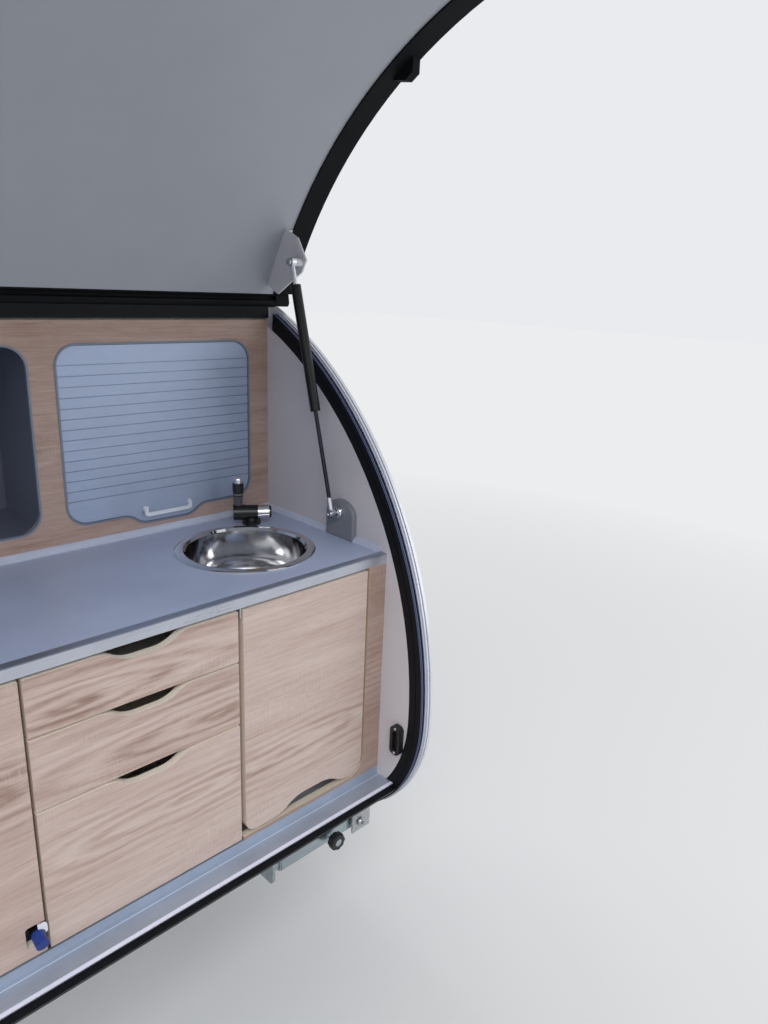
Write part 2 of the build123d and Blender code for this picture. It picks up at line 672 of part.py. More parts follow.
# Corner steadies, folded inward under the tail, on pins along Y
steady_x = half_in - 33
steady_y = front_y + 48
steady_z = floor_low - 91
steady_tube = 40.0
steady_long = 226.0
leg_tube = 30.0
leg_out = 26.0
steady_pin = 6.4
half = steady_tube / 2
tube_x0 = steady_x + 22 - steady_long - half
tube_face = RectangleRounded(steady_tube, steady_tube, 9) - RectangleRounded(
    steady_tube - 2 * steel, steady_tube - 2 * steel, 6
)
steady = side_plate(Pos(steady_y, steady_z) * tube_face, tube_x0, steady_x + 22)
leg_face = Pos(steady_y, steady_z) * RectangleRounded(leg_tube, leg_tube, 6)
collar_face = Pos(steady_y, steady_z) * RectangleRounded(steady_tube - steel, steady_tube - steel, 8)
steady += side_plate(leg_face, tube_x0 - leg_out, tube_x0 + 60)
steady += side_plate(collar_face, tube_x0 - 4, tube_x0 + 6)
foot_face = Pos(steady_y, steady_z) * RectangleRounded(2 * leg_tube, 2 * leg_tube, 14)
steady += side_plate(foot_face, tube_x0 - leg_out - 6, tube_x0 - leg_out)
knob_x = steady_x - 86
steady += rod_y(knob_x, steady_y - half - 14, steady_y - half, steady_z, 6)
steady += rod_y(knob_x, steady_y - half - 32, steady_y - half - 14, steady_z, 17)
steady += rod_y(steady_x, steady_y - half - 5.4, steady_y + half + 5.4, steady_z, 11)
steady -= rod_y(steady_x, steady_y - half - 6, steady_y + half + 6, steady_z, steady_pin + 0.6)
save(steady, "steady_right")
save(steady.mirror(Plane.YZ), "steady_left")
cheek_x = steady_x - 24
bracket = block(cheek_x, half_in - 1, steady_y - half - 10, steady_y + half + 10, floor_low - 4, floor_low)
for y in (steady_y - half - 10, steady_y + half + 6):
    bracket += block(cheek_x, half_in - 1, y, y + 4, steady_z - 24, floor_low - 4)
bracket += rod_y(steady_x, steady_y - half - 13, steady_y + half + 13, steady_z, steady_pin)
save(mirrored(bracket), "steady_brackets")


# Hatch, drawn shut and then turned open about the hinge
def opened(shape):
    return shape.rotate(Axis((0, hinge_y, hinge_z), (1, 0, 0)), -hatch_turn)


hatch_front = hinge_y - channel_r - 8
hatch_low = -hatch_drop
rim_x = hatch_out - rim_wide
low_room = rectangle(-2 * tail_back, front_y, hatch_low, hatch_low + 30)
shell = tail_band(shell_low, shell_high, -hatch_out, hatch_out, hatch_front, hatch_low)
save(opened(shell), "hatch_shell")
rim_face = tail_strip(rim_low, shell_low, hatch_front, hatch_low)
rim = side_plate(rim_face, rim_x, hatch_out)
lug_lean = 59.5
lug_corners = ((2, -2.4), (2, 1.6), (-22, 0.7), (-22, -0.7))
lug_points = [around(arc_r + rim_low + out, 90 + lug_lean + lean) for out, lean in lug_corners]
rim += side_plate(Pos(arc_y, arc_z) * flat_shape(lug_points), wall_out + gap, hatch_out - 3)
rim = mirrored(rim) + side_plate(rim_face & low_room, -rim_x, rim_x)
save(opened(rim), "hatch_rim")
liner_face = tail_strip(rim_low + 4, shell_low, hatch_front, hatch_low) - low_room
save(opened(side_plate(liner_face, -rim_x, rim_x)), "hatch_liner")
neck_angle = outward + 45
edge_top = outline_z(shell_high, hatch_front) - 2
edge_low = outline_z(shell_low, hatch_front) + 2
neck_long = (hinge_y - hatch_front - 3) / -math.cos(math.radians(neck_angle))
neck_face = Circle(bead_r) + Rot(0, 0, neck_angle) * Pos((neck_long + 1) / 2, 0) * Rectangle(neck_long + 1, 3)
neck_face = Pos(hinge_y, hinge_z) * neck_face + rectangle(hatch_front, hatch_front + 3, edge_low, edge_top)
save(opened(side_plate(neck_face, -trim_in, trim_in)), "hatch_hinge_bead")

# Strut brackets on the hatch, with their studs
ball_back = 140.0
ball_up = 89.0
turn = math.radians(hatch_turn)
ball_y = hinge_y - ball_back * math.cos(turn) - ball_up * math.sin(turn)
ball_z = hinge_z - ball_back * math.sin(turn) + ball_up * math.cos(turn)
ball_r = math.hypot(ball_y - arc_y, ball_z - arc_z)
ball_lean = math.degrees(math.atan2(ball_z - arc_z, ball_y - arc_y))
rim_r = arc_r + rim_low + 1
tab_corners = ((rim_r + 6, -6.6), (rim_r + 6, 1.9), (ball_r + 37, 2.4))
tab_corners += ((ball_r - 12, 0.9), (ball_r - 12, -1.1), (ball_r + 42, -6.6))
tab_points = [around(radius, ball_lean + lean) for radius, lean in tab_corners]
tab_face = Pos(arc_y, arc_z) * flat_shape(tab_points) & tail_face(rim_low + 4, hatch_front, hatch_low)
tab_x = half_in - 11
tab = side_plate(tab_face, tab_x, tab_x + 4)
foot_corners = ((rim_r - 9, -6.6), (rim_r + 9, -6.6), (rim_r + 9, 1.9), (rim_r - 9, 1.9))
foot_points = [around(radius, ball_lean + lean) for radius, lean in foot_corners]
foot_face = Pos(arc_y, arc_z) * flat_shape(foot_points)
foot_face &= tail_strip(rim_low + 1, rim_low + 4, hatch_front, hatch_low)
tab += side_plate(foot_face, tab_x, rim_x - 2)
tab += rod_x(strut_x - eye_half - 2, tab_x, ball_y, ball_z, 5)
tab += rod_x(strut_x + eye_half + 2, tab_x, ball_y, ball_z, 9)
save(opened(mirrored(tab)), "hatch_strut_plates")

# Locks on the outside of the hatch
lock_x = half_in - 57
lock_z = floor_top + keeper_up - 4
lock_y = outline_y(shell_high, lock_z)
lock_r = 28.0
lock = rod_y(lock_x, lock_y - 13, lock_y + 20, lock_z, lock_r)
lock += block(lock_x - lock_r - 8, lock_x + lock_r + 8, lock_y - 26, lock_y - 13, lock_z - 7, lock_z + 7)
save(opened(mirrored(lock - shell)), "hatch_locks")

# Gas struts between the hatch studs and the wall studs
strut_dy = stud_y - (hinge_y - ball_back)
strut_dz = stud_z - (hinge_z + ball_up)
strut_long = math.hypot(strut_dy, strut_dz)
strut_lean = math.degrees(math.atan2(strut_dz, strut_dy))
cylinder_r = 11.0
cylinder_start = 49.0
cylinder_end = 321.0
rod_r = 4.5
rod_start = 256.0
lean_y, lean_z = around(1, strut_lean)
strut_plane = Plane(
    origin=(strut_x, hinge_y - ball_back, hinge_z + ball_up), x_dir=(0, lean_y, lean_z), z_dir=(1, 0, 0)
)
eye = Cylinder(10, 2 * eye_half)
body = rod_x(9, cylinder_start + 1, 0, 0, 5) + eye - Cylinder(5.6, 3 * eye_half)
body += rod_x(cylinder_start, cylinder_end, 0, 0, cylinder_r)
body -= rod_x(cylinder_start + 4, cylinder_end - 6, 0, 0, cylinder_r - 2)
body -= rod_x(cylinder_end - 7, cylinder_end + 1, 0, 0, rod_r + 0.5)
rod = rod_x(rod_start, strut_long - 9, 0, 0, rod_r) + Pos(strut_long, 0, 0) * eye
rod += rod_x(strut_long - 34, strut_long - 8, 0, 0, rod_r + 2)
rod += rod_x(rod_start - 4, rod_start + 4, 0, 0, cylinder_r - 2.4)
cylinder_right = strut_plane * body
rod_right = strut_plane * rod
save(cylinder_right, "strut_cylinder_right")
save(cylinder_right.mirror(Plane.YZ), "strut_cylinder_left")
save(rod_right, "strut_rod_right")
save(rod_right.mirror(Plane.YZ), "strut_rod_left")
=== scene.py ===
import math

import bmesh
import bpy
from mathutils import Matrix, Vector


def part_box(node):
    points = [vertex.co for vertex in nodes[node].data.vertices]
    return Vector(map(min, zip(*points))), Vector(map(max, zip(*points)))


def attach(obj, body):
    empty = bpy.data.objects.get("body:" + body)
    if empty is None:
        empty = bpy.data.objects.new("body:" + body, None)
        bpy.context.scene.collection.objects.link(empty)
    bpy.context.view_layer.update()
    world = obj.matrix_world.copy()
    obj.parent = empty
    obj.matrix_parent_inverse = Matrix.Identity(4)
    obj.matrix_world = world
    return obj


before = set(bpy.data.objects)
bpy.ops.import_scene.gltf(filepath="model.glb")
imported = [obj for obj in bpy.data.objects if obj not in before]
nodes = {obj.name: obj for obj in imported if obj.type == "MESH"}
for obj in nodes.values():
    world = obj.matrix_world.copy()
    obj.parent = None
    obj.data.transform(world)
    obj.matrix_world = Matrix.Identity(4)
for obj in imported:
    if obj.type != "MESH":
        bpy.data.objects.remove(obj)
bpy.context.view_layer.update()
scene = bpy.context.scene
scene.view_settings.view_transform = "Standard"

# Places that more than one look or piece needs, in metres
board_back = -0.7035
stud_y = -0.577
stud_z = 0.631
eye_y = -0.430
eye_z = 1.160
sink_x = 0.542
sink_y = -0.507


# Colours are written as they look, from 0 to 255, and turned linear here
def linear(colour):
    parts = []
    for value in colour:
        value /= 255
        parts.append(value / 12.92 if value <= 0.04045 else ((value + 0.055) / 1.055) ** 2.4)
    return (*parts, 1.0)


def dimmed(colour, share):
    """A colour with a share of its light taken off."""
    return [value * (1 - share) for value in colour]


class Graph:
    """Short calls for the nodes of one tree."""

    def __init__(self, tree):
        self.tree = tree
        self.texture = tree.nodes.new("ShaderNodeTexCoord")

    def put(self, socket, value):
        if isinstance(value, bpy.types.NodeSocket):
            self.tree.links.new(value, socket)
        else:
            socket.default_value = value

    def node(self, kind, values=(), **settings):
        made = self.tree.nodes.new(kind)
        for key, value in settings.items():
            setattr(made, key, value)
        for key, value in dict(values).items():
            self.put(made.inputs[key], value)
        return made

    def axis(self, which, source="Object"):
        split = self.node("ShaderNodeSeparateXYZ", {0: self.texture.outputs[source]})
        return split.outputs["XYZ".index(which)]

    def math(self, operation, a, b=0.0):
        return self.node("ShaderNodeMath", {0: a, 1: b}, operation=operation).outputs[0]

    def length(self, vector):
        return self.node("ShaderNodeVectorMath", {0: vector}, operation="LENGTH").outputs["Value"]

    def spread(self, value, low, high, out_low=0.0, out_high=1.0):
        values = {"Value": value, "From Min": low, "From Max": high, "To Min": out_low, "To Max": out_high}
        return self.node("ShaderNodeMapRange", values).outputs["Result"]

    def between(self, value, low, high):
        """1 where the value lies between low and high, and 0 elsewhere."""
        above = self.math("GREATER_THAN", value, low)
        below = self.math("LESS_THAN", value, high)
        return self.math("MULTIPLY", above, below)


class Look(Graph):
    """A procedural material: one Principled shader and the nodes before it."""

    def __init__(self, name, rough, metallic=0.0, **sockets):
        self.mat = bpy.data.materials.new(name)
        self.mat.use_nodes = True
        super().__init__(self.mat.node_tree)
        self.shader = self.tree.nodes["Principled BSDF"]
        self.tune("Roughness", rough)
        self.tune("Metallic", metallic)
        for key, value in sockets.items():
            self.tune(key.replace("_", " "), value)

    def tune(self, name, value):
        """Set one of the shader's own sockets."""
        self.put(self.shader.inputs[name], value)

    def place(self, scale=(1, 1, 1), shift=(0, 0, 0), turn=(0, 0, 0)):
        """The object's own coordinates, stretched, so that a pattern rides with its piece."""
        source = self.texture.outputs["Object"]
        values = {"Vector": source, "Scale": scale, "Location": shift, "Rotation": turn}
        return self.node("ShaderNodeMapping", values).outputs["Vector"]

    def from_pin(self, y, z):
        """The distance from a pin that runs across the trailer."""
        return self.length(self.place((0, 1, 1), (0, -y, -z)))

    def noise(self, vector, scale, detail, rough=0.6, distortion=0.0):
        values = {"Vector": vector, "Scale": scale, "Detail": detail, "Roughness": rough}
        values["Distortion"] = distortion
        return self.node("ShaderNodeTexNoise", values).outputs["Fac"]

    def cells(self, scale):
        values = {"Vector": self.place(), "Scale": scale}
        return self.node("ShaderNodeTexVoronoi", values).outputs["Distance"]

    def rings(self, vector, scale, distortion):
        """Rings about Z."""
        values = {"Vector": vector, "Scale": scale, "Distortion": distortion}
        settings = {"wave_type": "RINGS", "rings_direction": "Z"}
        return self.node("ShaderNodeTexWave", values, **settings).outputs["Fac"]

    def mix(self, factor, a, b):
        made = self.node("ShaderNodeMix", data_type="RGBA")
        self.put(made.inputs[0], factor)
        self.put(made.inputs[6], a)
        self.put(made.inputs[7], b)
        return made.outputs[2]

    def two(self, first, second, factor):
        """Between two colours that are written from 0 to 255."""
        return self.mix(factor, linear(first), linear(second))

    def colour(self, value):
        self.tune("Base Color", value)

    def lay(self, mask, value):
        """Lay a linear colour over the one so far, as far as the mask goes."""
        below = self.shader.inputs["Base Color"].links[0].from_socket
        self.colour(self.mix(mask, below, value))

    def bump(self, height, distance, strength):
        values = {"Height": height, "Distance": distance, "Strength": strength}
        self.tune("Normal", self.node("ShaderNodeBump", values).outputs["Normal"])


def plastic(name, colour, rough, grain=900.0, depth=0.00004, clouds=0.04, **sockets):
    """Moulded plastic or rubber: a fine texture, faint clouds of colour and uneven gloss."""
    look = Look(name, rough, **sockets)
    cloud = look.noise(look.place((9, 9, 9)), 1.0, 4.0)
    look.colour(look.two(dimmed(colour, clouds), colour, look.spread(cloud, 0.3, 0.7)))
    look.tune("Roughness", look.spread(cloud, 0.2, 0.8, rough - 0.06, rough + 0.06))
    look.bump(look.noise(look.place(), grain, 3.0), depth, 0.6)
    return look


def metal(name, colour, rough, stretch=(8, 700, 700), depth=0.00002, clouds=0.1):
    """Drawn or rolled metal: scratches along its length and uneven gloss."""
    look = Look(name, rough, 1.0)
    lines = look.noise(look.place(stretch), 1.0, 2.0)
    cloud = look.noise(look.place((7, 7, 7)), 1.0, 4.0)
    shade = look.math("ADD", look.math("MULTIPLY", lines, 0.5), look.math("MULTIPLY", cloud, 0.5))
    look.colour(look.two(dimmed(colour, clouds), colour, look.spread(shade, 0.35, 0.65)))
    look.tune("Roughness", look.spread(shade, 0.3, 0.7, rough - 0.07, rough + 0.1))
    look.bump(lines, depth, 0.5)
    return look


def figure(look, shift, heart, streak, fine):
    """How dark a board is from place to place: arches about its heart, streaks, fibres and broad bands."""
    across, high = heart
    reach = look.length(look.place((3.4, 0, 26), (-3.4 * across, 0, -26 * high)))
    wobble = look.noise(look.place((5, 5, 26), shift), 1.0, 4.0)
    phase = look.math("ADD", look.math("MULTIPLY", reach, 14.0), look.math("MULTIPLY", wobble, 13.0))
    tone = look.math("MULTIPLY", look.math("SINE", phase), look.spread(reach, 0.4, 2.6, 0.09, 0.0))
    bend = look.spread(look.noise(look.place((1.1, 1.1, 2.2), shift), 1.0, 2.0), 0.35, 0.65)
    broad = look.noise(look.place((1.9, 1.9, 15), shift), 1.0, 4.0, 0.6, 0.8)
    for part, share in ((bend, 0.08), (streak, 0.34), (fine, 0.16), (broad, 0.40)):
        tone = look.math("ADD", tone, look.math("MULTIPLY", part, share))
    return tone


def oak(name, shift, heart, behind=None, painted_shade_tint=1.0, warm=1.1, edges=(226, 212, 200)):
    """Light streaky oak board, its grain across, with a painted highlight on its upper edge.

    shift picks its stretch of the pattern, and heart is the (x, z) place of its arched grain. behind is the
    colour of what sits on its back, and edges that of its side edges. Its tint darkens all of it, as
    painted shade for boards that stand in shade, and warm is its saturation.
    """
    look = Look(name, 0.42)
    streak = look.noise(look.place((7, 7, 150), shift), 1.0, 6.0, 0.7, 0.4)
    fine = look.noise(look.place((14, 14, 420), shift), 1.0, 4.0, 0.65)
    tone = figure(look, shift, heart, streak, fine)
    ramp = look.node("ShaderNodeValToRGB", {0: look.spread(tone, 0.36, 0.73)})
    shades = ramp.color_ramp.elements
    shades[0].color = linear((203, 187, 179))
    shades[1].color = linear((126, 101, 90))
    for at, colour in ((0.28, (193, 174, 166)), (0.52, (180, 159, 150)), (0.76, (154, 130, 120))):
        shades.new(at).color = linear(colour)
    look.colour(ramp.outputs["Color"])

    # Pores, and pale patches where the saw left its marks
    pores = look.noise(look.place((26, 26, 900), shift), 1.0, 2.0)
    saw = look.noise(look.place((480, 14, 26), shift), 1.0, 2.0)
    cloud = look.noise(look.place((3, 3, 7), shift), 1.0, 3.0)
    patches = look.math("MULTIPLY", look.spread(saw, 0.5, 0.68, 0.0, 0.5), look.spread(cloud, 0.5, 0.64))
    look.lay(look.spread(pores, 0.56, 0.74, 0.0, 0.38), linear((122, 101, 93)))
    look.lay(patches, linear((214, 202, 195)))

    # Side edges, a painted highlight on the upper edge, and what sits on the back
    layer = look.noise(look.place((3, 900, 3), shift), 1.0, 2.0)
    around = look.math("LESS_THAN", look.math("ABSOLUTE", look.axis("Y", "Normal")), 0.6)
    above = look.math("GREATER_THAN", look.axis("Z", "Normal"), 0.5)
    look.lay(around, look.two(dimmed(edges, 0.07), edges, look.spread(layer, 0.35, 0.65)))
    # Edges that face up are paler still than the side edges: a painted highlight
    look.lay(above, look.two((232, 222, 208), (246, 238, 226), layer))
    if behind:
        rear = look.math("GREATER_THAN", look.axis("Y"), board_back)
        look.lay(rear, look.two(dimmed(behind, 0.07), behind, cloud))

    # Darken all of it by the tint value: painted shade for boards that stand in shade
    wood = look.shader.inputs["Base Color"].links[0].from_socket
    values = {"Color": wood, "Value": painted_shade_tint, "Saturation": warm}
    look.colour(look.node("ShaderNodeHueSaturation", values).outputs["Color"])
    look.tune("Roughness", look.spread(streak, 0.3, 0.7, 0.38, 0.54))
    look.bump(look.math("ADD", pores, look.math("MULTIPLY", fine, 0.5)), 0.00012, 0.5)
    return look


def dress(look, *names):
    for name in names:
        mesh = nodes[name].data
        mesh.materials.clear()
        mesh.materials.append(look.mat)


# Wood
tray_colour = (198, 190, 184)
ear_colour = (196, 170, 156)
# The facade and carcass are darkened by their tint: painted shade, as they stand in shade
facade = oak("oak_facade", (0.3, 0, 0.1), (-0.2, 0.8), painted_shade_tint=0.84, warm=1.4)
dress(facade, "facade")
carcass = oak("oak_carcass", (1.3, 0, 0.7), (0.73, 0.3), painted_shade_tint=0.74, warm=1.4, edges=(226, 206, 188))
dress(carcass, "carcass")
dress(oak("oak_door", (2.1, 0, 0.35), (-0.16, 0.36)), "middle_door")
dress(oak("oak_drawer_bottom", (5.2, 0, 0.9), (0.27, 0.205), tray_colour), "drawer_bottom")
dress(oak("oak_drawer_middle", (7.7, 0, 2.1), (0.33, 0.352), tray_colour), "drawer_middle")
dress(oak("oak_drawer_top", (9.4, 0, 3.3), (0.07, 0.474), tray_colour), "drawer_top")
dress(oak("oak_flap_right", (11.6, 0, 4.2), (0.50, 0.20), ear_colour), "flap_right")
dress(oak("oak_flap_left", (14.1, 0, 5.6), (-0.55, 0.33), ear_colour), "flap_left")
trays = oak("oak_trays", (3.3, 0, 8.2), (0.2, 0.2))
dress(trays, "drawer_bottom_tray", "drawer_middle_tray", "drawer_top_tray")

# Worktop: blue-grey laminate with a faint fleck
laminate = Look("laminate", 0.32)
fleck = laminate.noise(laminate.place(), 1500.0, 2.0)
cloud = laminate.noise(laminate.place((5, 5, 5)), 1.0, 3.0)
laminate.colour(laminate.two((160, 171, 198), (172, 183, 210), laminate.spread(cloud, 0.3, 0.7)))
laminate.lay(laminate.spread(fleck, 0.6, 0.75, 0.0, 0.35), linear((194, 199, 218)))
laminate.tune("Roughness", laminate.spread(fleck, 0.3, 0.7, 0.28, 0.4))
laminate.bump(fleck, 0.00003, 0.4)
dress(laminate, "worktop")

# Sill with a painted highlight on its lip and another along its crease
lip_back = -0.7645
crease = (-0.7276, -0.7258)
brushed = metal("brushed_alloy", (180, 191, 208), 0.42)
# The lip and a thin band along the crease are made lighter: painted highlights
lip_highlight = brushed.math("LESS_THAN", brushed.axis("Y"), lip_back)
crease_highlight = brushed.between(brushed.axis("Y"), *crease)
brushed.lay(brushed.math("MAXIMUM", lip_highlight, crease_highlight), linear((228, 234, 252)))
brushed.tune("Metallic", brushed.spread(lip_highlight, 0.0, 1.0, 0.55, 0.1))
dress(brushed, "sill", "tail_apron")

# Edge profile of the worktop, darker on top
edge = metal("worktop_edge", (194, 198, 210), 0.3, (8, 500, 500))
edge.lay(edge.math("GREATER_THAN", edge.axis("Z", "Normal"), 0.6), linear((142, 148, 166)))
edge.tune("Metallic", 0.6)
dress(edge, "worktop_edge")

# Trims on the walls' edges, with a dark groove along them
groove = (0.7812, 0.7842)
trims = metal("trim_alloy", (222, 225, 233), 0.3, (260, 260, 260), 0.00001, 0.05)
in_groove = trims.between(trims.math("ABSOLUTE", trims.axis("X")), *groove)
trims.lay(in_groove, linear((18, 19, 22)))
trims.tune("Metallic", trims.spread(in_groove, 0.0, 1.0, 0.35, 0.0))
dress(trims, "edge_trims")

# Sink, with faint rings about its outlet
polished = metal("polished_steel", (222, 222, 224), 0.1, (30, 30, 30), 0.00001, 0.05)
polished.bump(polished.rings(polished.place(shift=(-sink_x, -sink_y, 0)), 160.0, 0.6), 0.00001, 0.25)
dress(polished, "sink")

# Strut rods, dark with a bright eye on the stud, and black cylinders with a bright eye on the hatch
rod_eye_reach = 0.036
cylinder_eye_reach = 0.0485
dark_rod = metal("dark_rod", (56, 58, 64), 0.16, (300, 300, 8), 0.00001, 0.12)
at_stud = dark_rod.math("LESS_THAN", dark_rod.from_pin(stud_y, stud_z), rod_eye_reach)
dark_rod.lay(at_stud, linear((214, 216, 222)))
dress(dark_rod, "strut_rod_right", "strut_rod_left")
cylinder = plastic("strut_black", (7, 7, 9), 0.34, 300.0, 0.00001, Specular_IOR_Level=0.3)
at_hatch = cylinder.math("LESS_THAN", cylinder.from_pin(eye_y, eye_z), cylinder_eye_reach)
cylinder.lay(at_hatch, linear((210, 212, 218)))
cylinder.tune("Metallic", at_hatch)
dress(cylinder, "strut_cylinder_right", "strut_cylinder_left")

# Galvanised steel, with its spangle
zinc = Look("galvanised", 0.4, 0.9)
shade = zinc.math("ADD", zinc.cells(150.0), zinc.noise(zinc.place((6, 6, 6)), 1.0, 5.0))
zinc.colour(zinc.two((158, 162, 164), (190, 193, 195), zinc.spread(shade, 0.5, 1.3)))
zinc.tune("Roughness", zinc.spread(shade, 0.5, 1.3, 0.36, 0.52))
zinc.bump(shade, 0.00004, 0.3)
dress(zinc, "chassis_rails", "cross_member", "steady_brackets", "drawer_runners", "pivot_brackets")

# Other metals
chrome = metal("chrome", (225, 226, 230), 0.08, (60, 60, 60), 0.00001, 0.04)
dress(chrome, "strut_studs")
dress(metal("steady_tube", (176, 188, 194), 0.24, (8, 300, 300), 0.00003), "steady_right", "steady_left")
skirting = metal("skirting_alloy", (206, 214, 234), 0.36, (8, 300, 300))
skirting.tune("Metallic", 0.25)
dress(skirting, "skirting")
slats = metal("shutter_slats", (172, 187, 214), 0.42, (5, 900, 900), 0.00002, 0.08)
slats.tune("Metallic", 0.35)
dress(slats, "shutters")

# Side walls, which show their foam core where they are cut off from the cabin
core = (0.7588, 0.7902)
cut_y = -0.001
wall = plastic("wall_panel", (205, 201, 206), 0.46, 1300.0, 0.00006, 0.02)
end_face = wall.math("GREATER_THAN", wall.math("ABSOLUTE", wall.axis("Y", "Normal")), 0.9)
cut_edge = wall.math("MULTIPLY", end_face, wall.math("GREATER_THAN", wall.axis("Y"), cut_y))
in_core = wall.between(wall.math("ABSOLUTE", wall.axis("X")), *core)
foam = wall.two((196, 188, 160), (226, 220, 198), wall.cells(420.0))
wall.lay(wall.math("MULTIPLY", in_core, cut_edge), foam)
dress(wall, "side_walls")

# Other panels
skin = plastic("panel_skin", (190, 189, 196), 0.46, 1300.0, 0.00006, 0.02)
dress(skin, "roof_strip", "front_partition")
dress(plastic("hatch_liner", (166, 170, 178), 0.5, 1100.0, 0.00008, 0.02), "hatch_liner")
coat = {"Coat_Weight": 0.25, "Coat_Roughness": 0.14}
dress(plastic("outer_skin", (186, 188, 193), 0.36, 900.0, 0.00001, 0.015, **coat), "hatch_shell")
dress(plastic("floor_board", (194, 196, 204), 0.5, 400.0, 0.0001), "floor_panel")

# Tail seals: black rubber with two pale lines, which are painted highlights, and a bright strip, which end
# above the sill
inner_highlight = (0.7592, 0.7612)
outer_highlight = (0.7628, 0.7664)
strip_in = 0.7712
seal = plastic("seal_rubber", (13, 14, 19), 0.6, 700.0, 0.00008, Specular_IOR_Level=0.2)
away = seal.math("ABSOLUTE", seal.axis("X"))
over_sill = seal.math("GREATER_THAN", seal.axis("Z"), 0.0)
# The two pale lines are painted highlights on the black rubber
lines = seal.math("MAXIMUM", seal.between(away, *inner_highlight), seal.between(away, *outer_highlight))
strip = seal.math("GREATER_THAN", away, strip_in)
seal.lay(seal.math("MULTIPLY", lines, over_sill), linear((84, 94, 126)))
seal.lay(seal.math("MULTIPLY", strip, over_sill), linear((196, 199, 224)))
dress(seal, "tail_seals")

# Other rubber
rubber = plastic("rubber", (13, 14, 19), 0.7, 700.0, 0.00008, Specular_IOR_Level=0.15)
dress(rubber, "hatch_rim")
smooth_rubber = plastic("hinge_rubber", (12, 13, 18), 0.55, 500.0, 0.00003, Specular_IOR_Level=0.15)
dress(smooth_rubber, "hinge_rail", "hatch_hinge_bead")

# Tap: black, with a bright nozzle and dome, in coordinates that start at its foot and run along its spout
tap_foot = Vector((0.6508, -0.3712, 0.597))
tap_heading = math.radians(31.4)
nozzle_along = (0.0147, 0.0407)
nozzle_up = (-0.02, 0.02)
neck = (0.0185, 0.0405)
neck_line = (0.0440, 0.0462)
dome_foot = 0.0718
tap = plastic("tap_black", (20, 21, 24), 0.3)
tap_shift = -(Matrix.Rotation(tap_heading, 3, "Z") @ tap_foot)
tap_place = tap.place(shift=tap_shift, turn=(0, 0, tap_heading))
along, _, up = tap.node("ShaderNodeSeparateXYZ", {0: tap_place}).outputs
nozzle = tap.math("MULTIPLY", tap.between(along, *nozzle_along), tap.between(up, *nozzle_up))
bright = tap.math("MAXIMUM", nozzle, tap.math("GREATER_THAN", up, dome_foot))
tap.lay(tap.between(up, *neck), linear((84, 82, 92)))
tap.lay(tap.between(up, *neck_line), linear((140, 140, 148)))
tap.lay(bright, linear((222, 223, 227)))
tap.tune("Metallic", bright)
tap.tune("Roughness", tap.spread(bright, 0.0, 1.0, 0.32, 0.08))
dress(tap, "tap")

# Corner fitting: black, and blue where its cap stands out
cap_back = -0.7205
fitting = plastic("fitting_black", (9, 10, 12), 0.5)
outside = fitting.math("LESS_THAN", fitting.axis("Y"), cap_back)
fitting.lay(outside, linear((12, 50, 128)))
fitting.tune("Roughness", fitting.spread(outside, 0.0, 1.0, 0.5, 0.3))
dress(fitting, "corner_fitting")

# Mouldings
dress(plastic("lining", (116, 122, 140), 0.6, 800.0, 0.0001), "locker_boxes")
dress(plastic("frame_grey", (122, 132, 150), 0.42), "opening_frames")
dress(plastic("handle_grey", (232, 237, 246), 0.3), "shutter_handles")
dress(plastic("housing_grey", (126, 129, 138), 0.45), "strut_housings")
dress(plastic("bracket_grey", (214, 212, 217), 0.38), "hatch_strut_plates")
dress(plastic("black_moulding", (22, 23, 26), 0.35), "latch_keepers", "hatch_locks")
dress(plastic("stay_grey", (112, 108, 112), 0.45), "stay_right", "stay_left")
dress(plastic("guide_grey", (96, 92, 94), 0.45), "stay_guides")
bottle = plastic("canister", (222, 230, 238), 0.32, 200.0, 0.0001, Transmission_Weight=0.2, IOR=1.45)
dress(bottle, "water_canisters")
dress(plastic("yellow_cap", (232, 174, 28), 0.35), "canister_caps")


# Small parts, turned or cut in mesh code
def turn_up(form, at, axis, rings, sides, lobes=0, wave=0.0):
    """A turned shape about axis, from at. A ring is (radius, height), with a third value for a hexagon."""
    stand = Matrix.Translation(at) @ Vector(axis).to_track_quat("Z", "Y").to_matrix().to_4x4()
    rows = []
    for radius, height, *hexagon in rings:
        row = []
        for step in range(sides):
            angle = math.tau * step / sides
            reach = radius * (1 + wave * math.cos(lobes * angle))
            if hexagon:
                reach *= math.cos(math.pi / 6) / math.cos(angle % (math.pi / 3) - math.pi / 6)
            point = Vector((reach * math.cos(angle), reach * math.sin(angle), height))
            row.append(form.verts.new(stand @ point))
        rows.append(row)
    for low, high in zip(rows, rows[1:]):
        for step in range(sides):
            after = (step + 1) % sides
            form.faces.new((low[step], low[after], high[after], high[step]))
    form.faces.new(rows[0])
    form.faces.new(rows[-1])


def slab(form, near, far):
    """A solid between two outlines of as many points."""
    front = [form.verts.new(point) for point in near]
    rear = [form.verts.new(point) for point in far]
    form.faces.new(front)
    form.faces.new(rear)
    for step in range(len(front)):
        after = (step + 1) % len(front)
        form.faces.new((front[step], front[after], rear[after], rear[step]))


def socket_head(form, at, axis, radius, high):
    """A round bolt head with a hexagon socket."""
    rings = [
        (radius, 0),
        (radius, 0.55 * high),
        (0.88 * radius, 0.9 * high),
        (0.64 * radius, high),
        (0.52 * radius, high, True),
        (0.50 * radius, 0.4 * high, True),
        (0.02 * radius, 0.4 * high),
    ]
    turn_up(form, at, axis, rings, 48)


def add(form, name, look, body):
    """Turn a form into a piece that rides on a body."""
    bmesh.ops.recalc_face_normals(form, faces=form.faces)
    mesh = bpy.data.meshes.new(name)
    form.to_mesh(mesh)
    form.free()
    mesh.materials.append(look.mat)
    for face in mesh.polygons:
        face.use_smooth = True
    mesh.set_sharp_from_angle(angle=math.radians(32))
    made = bpy.data.objects.new(name, mesh)
    scene.collection.objects.link(made)
    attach(made, body)


